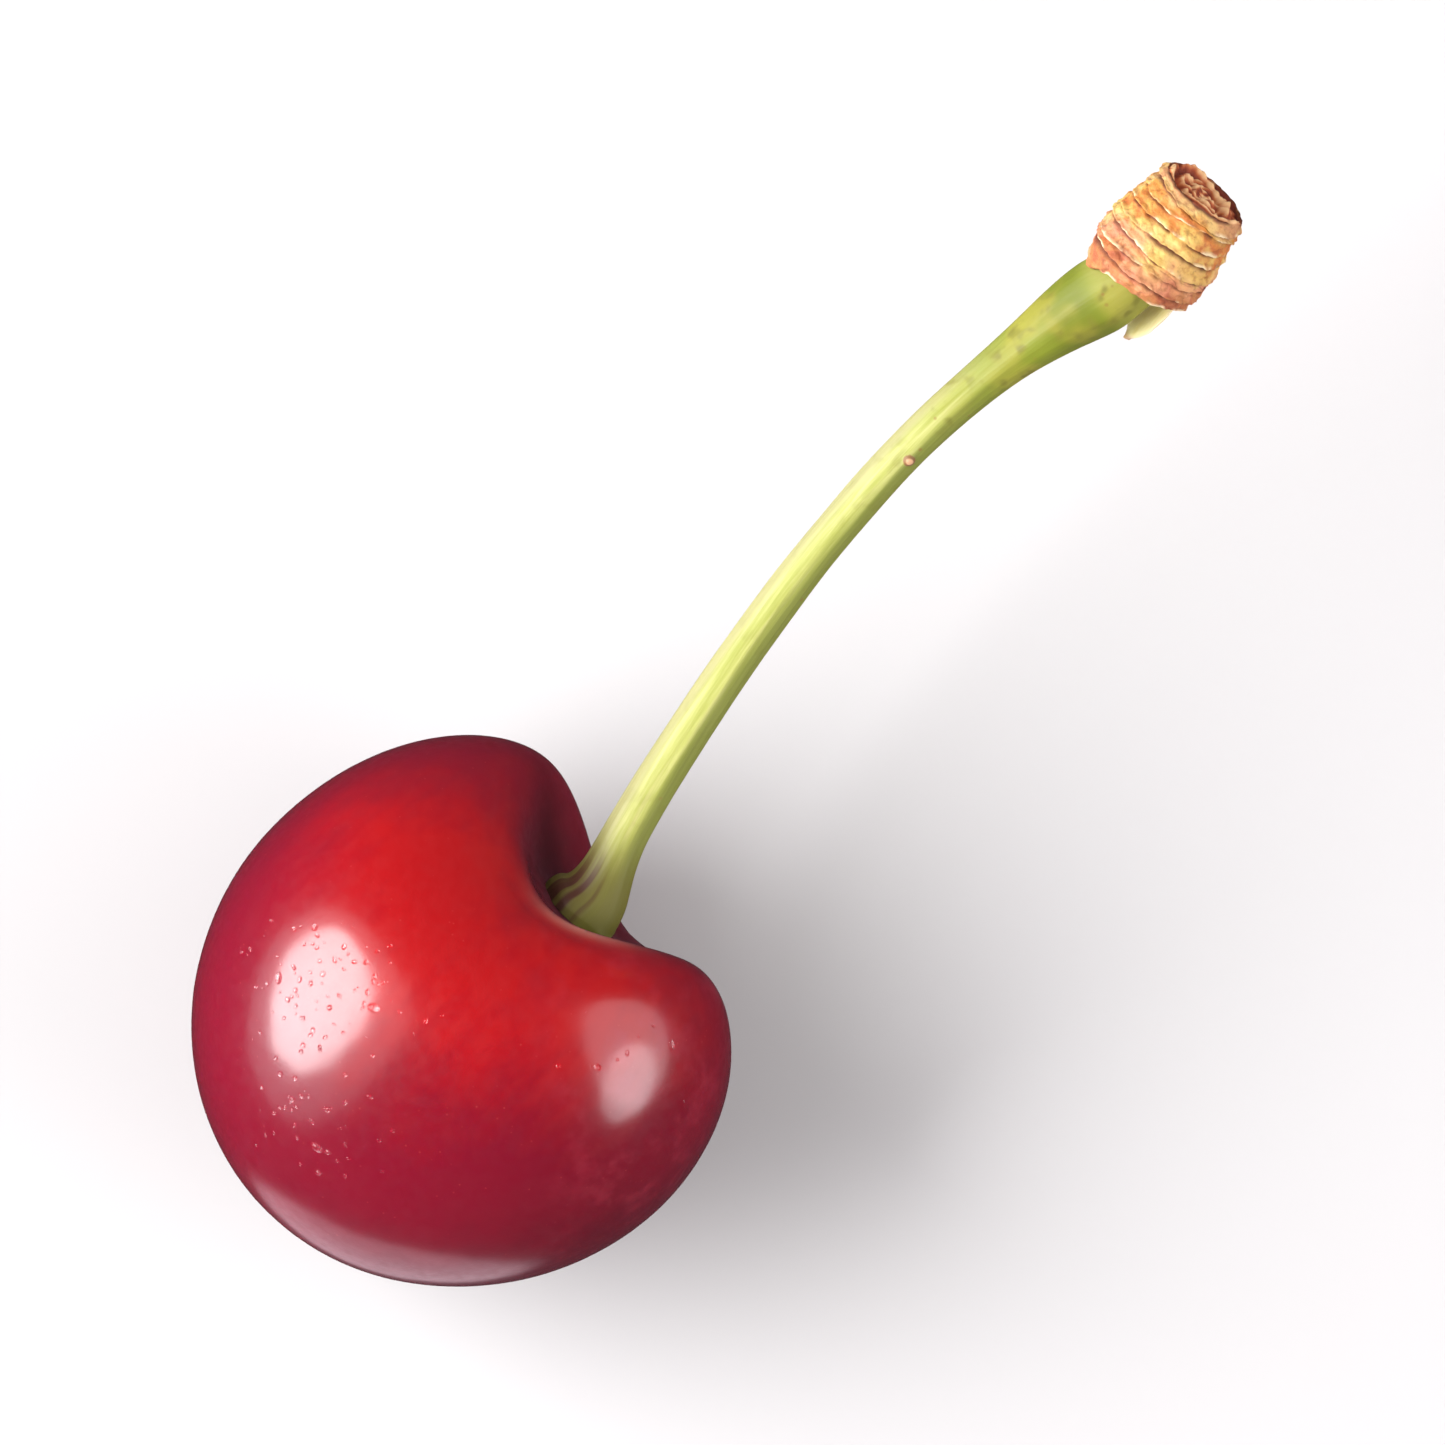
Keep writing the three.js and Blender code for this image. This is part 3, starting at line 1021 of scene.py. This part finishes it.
def skin_material():
    """Glossy red skin, with a faint painted sheen of pinkish patches on the side away from the
    painted crimson shade, and faint pale dots.
    """
    m = Surface("cherry_skin")
    place = m.place()
    # Painted sheen: soft pinkish patches round where the fill light's highlight falls.
    painted_sheen = m.range(m.noise(place, 0.45, 4.0, 0.6), 0.48, 0.7, 0.0, 0.3)
    painted_sheen = m.product(painted_sheen, m.range(m.reach(place, PAINTED_SHADE_SIDE), -3.0, -7.5))
    colour = m.mix(painted_sheen, skin_reds_with_painted_shade(m, place), (0.40, 0.03, 0.055))
    dotted = m.range(m.noise(place, 0.6), 0.4, 0.65, 0.0, 0.25)
    dots = m.product(m.spots(place, 1.9, 0.04, 0.12), dotted)
    colour = m.mix(dots, colour, (0.62, 0.10, 0.09))
    # The cavity and furrow marks are painted shade, and the lip mark is a painted highlight.
    for mark, share, mark_colour in SKIN_MARKS_AND_PAINTED_LIGHT:
        colour = m.mix(m.product(m.attribute(mark), share), colour, mark_colour)
    m.surface(
        Base_Color=colour,
        Roughness=m.range(m.noise(place, 1.6, 4.0), 0.3, 0.7, 0.28, 0.4),
        Subsurface_Weight=0.15,
        Subsurface_Radius=(1.0, 0.15, 0.12),
        Subsurface_Scale=1.4 * MM,
        IOR=1.34,
        Coat_Weight=1.0,
        Coat_Roughness=0.17,
        Coat_IOR=1.65,
        Normal=m.bump(m.noise(place, 5.0, 3.0), 0.02, 0.3),
    )
    return m


def stalk_greens(m, streaks, streak_x):
    """Streaks of green, with painted shade on the stalk's side away from the key light, and its lit
    side painted a duller beige.
    """
    stops = [
        (0.0, (0.33, 0.36, 0.065)),
        (0.5, (0.41, 0.43, 0.11)),
        (1.0, (0.51, 0.51, 0.18)),
    ]
    colour = m.ramp(m.range(streaks, 0.26, 0.74), stops)
    # Painted shade on the side away from the key light.
    shade = m.range(streak_x, -0.1, -0.6, 0.0, 0.85)
    colour = m.mix(shade, colour, (0.19, 0.22, 0.03))
    # Painted tone: the lit side made duller and beige.
    lit_side = m.range(streak_x, 0.3, 0.8, 0.0, 0.7)
    return m.mix(lit_side, colour, (0.36, 0.335, 0.17))


def greener_head(m, colour, place, along):
    """A deeper green head with yellowed patches, painted shade on its neck and a painted highlight on
    the collar at its end.
    """
    head = m.product(m.range(along, 0.66, 0.86), m.range(along, 0.95, 0.98, 0.9, 0.55))
    colour = m.mix(head, colour, (0.19, 0.23, 0.012))
    # Painted shade and painted highlight for a groove and a bulge at the head's end.
    neck = m.product(m.range(along, 0.86, 0.91), m.range(along, 0.935, 0.965, 0.7, 0.0))
    colour = m.mix(neck, colour, (0.13, 0.16, 0.006))
    collar = m.range(along, 0.945, 0.985, 0.0, 0.5)
    colour = m.mix(collar, colour, (0.36, 0.35, 0.055))
    yellowed = m.product(m.range(m.noise(place, 0.4, 2.0), 0.42, 0.66), head, 0.4)
    return m.mix(yellowed, colour, (0.42, 0.34, 0.05))


def rind_specks(m, colour, place, along):
    """Dark speckles, most of them near the head, a few brown specks, and the brown-edged wart."""
    speckled = m.range(m.noise(place, 0.4, 2.0), 0.42, 0.6)
    near_head = m.range(along, 0.55, 0.8, 0.15, 0.8)
    speckle = m.product(m.range(m.noise(place, 1.3, 1.0), 0.5, 0.72), speckled, near_head)
    colour = m.mix(speckle, colour, (0.17, 0.16, 0.02))
    specked = m.range(m.noise(place, 0.35), 0.52, 0.62, 0.0, 0.6)
    specks = m.product(m.spots(place, 1.1, 0.06, 0.16), specked)
    colour = m.mix(specks, colour, (0.26, 0.13, 0.03))
    wart = m.attribute("wart")
    colour = m.mix(m.range(wart, 0.05, 0.25, 0.0, 0.9), colour, (0.24, 0.10, 0.04))
    return m.mix(m.range(wart, 0.4, 0.65, 0.0, 0.9), colour, (0.72, 0.42, 0.24))


def browned_foot(m, colour, streak_place, streak_x, along):
    """A foot painted darker as painted shade, and browned in streaks, mostly on its lit side."""
    # Painted shade: the foot darkened where it sits down in the cavity.
    foot = m.product(m.range(along, 0.035, 0.125, 1.0, 0.0), 0.9)
    colour = m.mix(foot, colour, (0.15, 0.145, 0.018))
    low_end = m.range(along, 0.03, 0.095, 1.0, 0.0)
    brown_streaks = m.range(m.noise(streak_place, 2.4, 2.0), 0.44, 0.54, 0.35, 1.0)
    lit_side = m.range(streak_x, -0.4, 0.35, 0.1, 1.0)
    browned = m.product(low_end, brown_streaks, lit_side)
    return m.mix(browned, colour, (0.085, 0.03, 0.016))


def stalk_material():
    """Waxy pale green, streaked lengthwise, browned at the foot and speckled near the head, with
    painted shade on the foot, on one side and on the head's neck, the lit side painted duller, and a
    painted highlight on the collar.
    """
    m = Surface("stalk_green")
    place = m.place()
    along = m.attribute("along")
    streak_x = m.attribute("streak_x")
    parts = {"X": streak_x, "Y": m.attribute("streak_y"), "Z": m.product(along, 2.2)}
    streak_place = m.add("ShaderNodeCombineXYZ", parts).outputs["Vector"]
    streaks = m.noise(streak_place, 3.6, 5.0, 0.62)
    colour = stalk_greens(m, streaks, streak_x)
    colour = greener_head(m, colour, place, along)
    colour = rind_specks(m, colour, place, along)
    colour = browned_foot(m, colour, streak_place, streak_x, along)
    m.surface(
        Base_Color=colour,
        Roughness=m.range(streaks, 0.3, 0.7, 0.62, 0.5),
        Subsurface_Weight=0.1,
        Subsurface_Radius=(0.6, 0.7, 0.2),
        Subsurface_Scale=0.5 * MM,
        IOR=1.42,
        Normal=m.bump(m.noise(streak_place, 9.0, 3.0), 0.03, 0.6),
    )
    return m


def bark_patches(m, place):
    """Tan, orange and pinkish brown patches, as dry bark has."""
    bands = m.noise(place, 0.75, 5.0, 0.6, 0.4)
    stops = [
        (0.0, (0.20, 0.045, 0.018)),
        (0.28, (0.46, 0.15, 0.065)),
        (0.5, (0.60, 0.30, 0.09)),
        (0.75, (0.66, 0.39, 0.10)),
        (1.0, (0.76, 0.54, 0.22)),
    ]
    return m.ramp(m.range(bands, 0.28, 0.72), stops)


def ring_colours(m, place, ring):
    """From the foot up: brown, pink, cream, a red-orange band, and yellow-brown."""
    wander = m.range(m.noise(place, 0.55, 3.0), 0.3, 0.7, -1.3, 1.3)
    stops = [
        (0.0, (0.46, 0.14, 0.055)),
        (0.1, (0.40, 0.10, 0.042)),
        (0.2, (0.72, 0.29, 0.16)),
        (0.32, (0.74, 0.37, 0.17)),
        (0.42, (0.80, 0.54, 0.18)),
        (0.54, (0.72, 0.48, 0.12)),
        (0.64, (0.60, 0.16, 0.025)),
        (0.76, (0.64, 0.29, 0.05)),
        (0.9, (0.78, 0.55, 0.21)),
        (1.0, (0.62, 0.33, 0.14)),
    ]
    return m.ramp(m.product(m.total(ring, wander), 1 / LAST_RING), stops)


def scale_edges(m, colour, place, ring):
    """Painted shade under each scale's lip and in its cracks, and pale along parts of the lips."""
    within = m.maths("FRACT", ring)
    broken = m.range(m.noise(place, 0.8, 3.0), 0.34, 0.5)
    under = m.product(m.range(within, 0.62, 0.95), broken)
    # Painted shade under the lips and in the cracks.
    dark = m.product(m.maths("MAXIMUM", under, m.attribute("crack")), 0.95)
    colour = m.mix(dark, colour, (0.11, 0.025, 0.012))
    whole = m.range(m.noise(place, 0.9, 3.0), 0.5, 0.64)
    lip = m.product(m.range(within, 0.03, 0.25, 0.85, 0.0), whole)
    return m.mix(lip, colour, (0.95, 0.80, 0.50))


def torn_colours(m):
    """Red-brown between the torn end's layers, painted darker there as painted shade, and cream on
    their crests.
    """
    stops = [
        (0.0, (0.20, 0.032, 0.012)),
        (0.35, (0.38, 0.075, 0.024)),
        (0.6, (0.56, 0.18, 0.06)),
        (1.0, (0.86, 0.54, 0.26)),
    ]
    # Painted shade: the lower a point lies between the layers, the darker.
    return m.ramp(m.range(m.attribute("crest"), -0.45, 0.5), stops)


def knob_material():
    """Dry bark: a brown and pink foot, cream rings, orange ones, and a red-brown torn end, with
    painted shade under the scales, in their cracks and between the torn end's layers.
    """
    m = Surface("spur_bark")
    place = m.place()
    ring = m.attribute("ring")
    patches = bark_patches(m, m.place((1.6, 0.6, 0.8)))
    colour = m.mix(0.3, ring_colours(m, place, ring), patches)
    colour = scale_edges(m, colour, place, ring)
    fine = m.range(m.noise(place, 2.2, 4.0, 0.65), 0.5, 0.7, 0.0, 0.5)
    colour = m.mix(fine, colour, (0.34, 0.10, 0.035))
    colour = m.mix(m.attribute("torn"), colour, torn_colours(m))
    grain = m.noise(place, 7.0, 4.0, 0.6)
    m.surface(
        Base_Color=colour,
        Roughness=m.range(grain, 0.3, 0.7, 0.5, 0.8),
        IOR=1.4,
        Normal=m.bump(grain, 0.07, 0.8),
    )
    return m


def bract_material():
    """Pale yellow-green, with a dry cream edge and a brown tip."""
    m = Surface("bract_green")
    place = m.place()
    veins = m.noise(m.place((0.3, 1.6, 1.6)), 2.2, 4.0)
    colour = m.mix(m.range(veins, 0.3, 0.7), (0.86, 0.76, 0.27), (0.93, 0.87, 0.42))
    colour = m.mix(m.product(m.attribute("edge"), 0.85), colour, (0.95, 0.84, 0.58))
    colour = m.mix(m.product(m.attribute("dried"), 0.7), colour, (0.50, 0.22, 0.12))
    m.surface(
        Base_Color=colour,
        Roughness=m.range(veins, 0.3, 0.7, 0.5, 0.7),
        Subsurface_Weight=0.1,
        Subsurface_Radius=(0.5, 0.5, 0.2),
        Subsurface_Scale=0.4 * MM,
        Normal=m.bump(m.noise(place, 6.0, 3.0), 0.03, 0.5),
    )
    return m


def dew_material():
    """Clear water."""
    m = Surface("dew_water")
    tint = m.mix(m.noise(m.place(), 0.4, 1.0), (1.0, 0.96, 0.96), (0.96, 0.93, 0.94))
    m.surface(
        Base_Color=tint,
        Roughness=0.03,
        IOR=1.33,
        Transmission_Weight=1.0,
    )
    return m


# ======== Scene ========

PICTURE_TURN = -math.radians(STALK_SLANT)
NEAREST_DRAWN = 0.01  # metres
FARTHEST_DRAWN = 10.0  # metres


def make_camera():
    """The camera, straight above, so far away that its view is VIEW_WIDTH wide."""
    data = bpy.data.cameras.new("camera")
    data.lens = LENS
    data.sensor_width = SENSOR
    camera = bpy.data.objects.new("camera", data)
    distance = VIEW_WIDTH * LENS / SENSOR
    camera.location = Vector((*VIEW_CENTRE[:2], VIEW_CENTRE[2] + distance)) * MM
    camera.rotation_euler = (0, 0, PICTURE_TURN)
    data.clip_start = NEAREST_DRAWN
    data.clip_end = FARTHEST_DRAWN
    bpy.context.scene.collection.objects.link(camera)
    bpy.context.scene.camera = camera


def softbox(name, place, target, roll, size, power, colour):
    """An oval soft light that faces the target, rolled about the line to it."""
    data = bpy.data.lights.new(name, "AREA")
    data.shape = "ELLIPSE"
    data.size, data.size_y = size
    data.energy = power
    data.color = colour
    light = bpy.data.objects.new(name, data)
    light.location = place
    aim = (target - place).to_track_quat("-Z", "Y")
    light.rotation_euler = (aim @ Quaternion((0, 0, 1), roll)).to_euler()
    bpy.context.scene.collection.objects.link(light)


# Each softbox: its name, azimuth, elevation and roll in degrees, width and height in metres,
# power in watts, and colour. All stand at one distance, in metres, from the fruit's middle.
SOFTBOXES = [
    ("key", 176.0, 33.5, -35.0, 0.76, 0.49, 7.9, (1.0, 0.985, 0.99)),
    ("key_glow", 179.0, 33.5, -42.0, 1.25, 0.84, 2.3, (1.0, 0.91, 0.96)),
    ("fill", -1.0, 31.0, 16.0, 0.86, 0.46, 1.55, (1.0, 0.92, 0.96)),
    ("fill_core", -22.0, 26.5, 16.0, 0.48, 0.30, 1.1, (1.0, 0.94, 0.97)),
]
SOFTBOX_DISTANCE = 0.6

# The room: an even light, and what the gloss reflects, dark but for a pale patch low down. The
# patch's place is in degrees, and its soft edge lies between two cosines from its middle.
ROOM_LIGHT = (0.47, 0.47, 0.47)
ROOM_GLOSS = (0.08, 0.035, 0.045)
PATCH_GLOSS = (1.0, 0.74, 0.84)
PATCH_AZIMUTH = -109.0
PATCH_ELEVATION = -45.0
PATCH_EDGE = (0.915, 0.95)


def direction(azimuth, elevation):
    """A unit vector at angles round the picture, 0 at its right, and upwards."""
    turn = math.radians(azimuth) + PICTURE_TURN
    rise = math.radians(elevation)
    return Vector((math.cos(rise) * math.cos(turn), math.cos(rise) * math.sin(turn), math.sin(rise)))


def make_world():
    """The room's even light and its reflections."""
    world = bpy.data.worlds.new("studio")
    m = Nodes(world)
    towards = m.add("ShaderNodeTexCoord").outputs["Generated"]
    aim = tuple(direction(PATCH_AZIMUTH, PATCH_ELEVATION))
    patch = m.range(m.reach(towards, aim), *PATCH_EDGE)
    is_gloss = m.add("ShaderNodeLightPath").outputs["Is Glossy Ray"]
    colour = m.mix(is_gloss, ROOM_LIGHT, m.mix(patch, ROOM_GLOSS, PATCH_GLOSS))
    background = m.add("ShaderNodeBackground", {"Color": colour})
    m.add("ShaderNodeOutputWorld", {"Surface": background.outputs["Background"]})
    bpy.context.scene.world = world


def make_lights():
    """The softboxes round the fruit, the room, and a plain view of the colours."""
    fruit_low, fruit_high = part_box("fruit")
    target = (Vector(fruit_low) + Vector(fruit_high)) / 2
    for name, azimuth, elevation, roll, width, height, power, colour in SOFTBOXES:
        place = target + SOFTBOX_DISTANCE * direction(azimuth, elevation)
        softbox(name, place, target, math.radians(roll), (width, height), power, colour)
    make_world()
    bpy.context.scene.view_settings.view_transform = "Standard"


FLOOR_HALF = 1.5  # metres
FLOOR_GREY = (0.57, 0.57, 0.57, 1.0)


def make_floor():
    """A plain square floor, out of sight of the gloss."""
    mesh = bpy.data.meshes.new("floor")
    signs = [(-1, -1), (1, -1), (1, 1), (-1, 1)]
    corners = [(FLOOR_HALF * x, FLOOR_HALF * y, 0) for x, y in signs]
    mesh.from_pydata(corners, [], [(0, 1, 2, 3)])
    floor = bpy.data.objects.new("floor", mesh)
    bpy.context.scene.collection.objects.link(floor)
    m = Surface("pale_floor")
    m.surface(Base_Color=FLOOR_GREY, Roughness=0.8)
    finish_piece(floor, m)
    floor.visible_glossy = False


make_camera()
make_lights()
make_floor()
fruit = make_fruit()
finish_piece(fruit, skin_material())
finish_piece(make_stalk(Stalk()), stalk_material())
finish_piece(make_knob(), knob_material())
finish_piece(make_bract(), bract_material())
finish_piece(make_droplets(fruit), dew_material())
